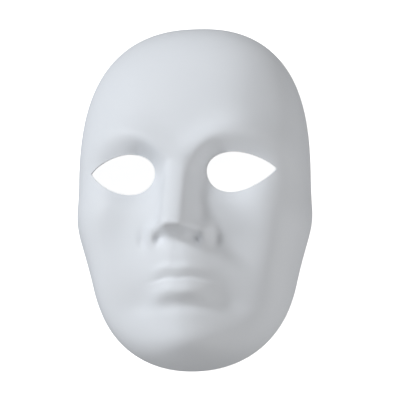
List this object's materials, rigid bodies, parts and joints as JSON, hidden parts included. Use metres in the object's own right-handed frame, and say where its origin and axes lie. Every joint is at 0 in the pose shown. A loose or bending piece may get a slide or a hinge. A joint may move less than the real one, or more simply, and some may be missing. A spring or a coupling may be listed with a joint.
{
  "type": "face mask",
  "caption": "Plain white moulded plastic full-face mask: a thin hollow shell with a calm human face, open eye holes and a flat cut edge.",
  "frame": {"origin": "middle of the cut edge's plane, on the surface that the mask lies on", "axes": "+Z out of the face, +Y towards the forehead, +X to the right for someone looking at the face"},
  "size_m": [0.1478, 0.2148, 0.0767],
  "materials": {
    "white_plastic": "smooth matt, cool white"
  },
  "bodies": {
    "root": {"mask_shell": "white_plastic"}
  },
  "joints": []
}
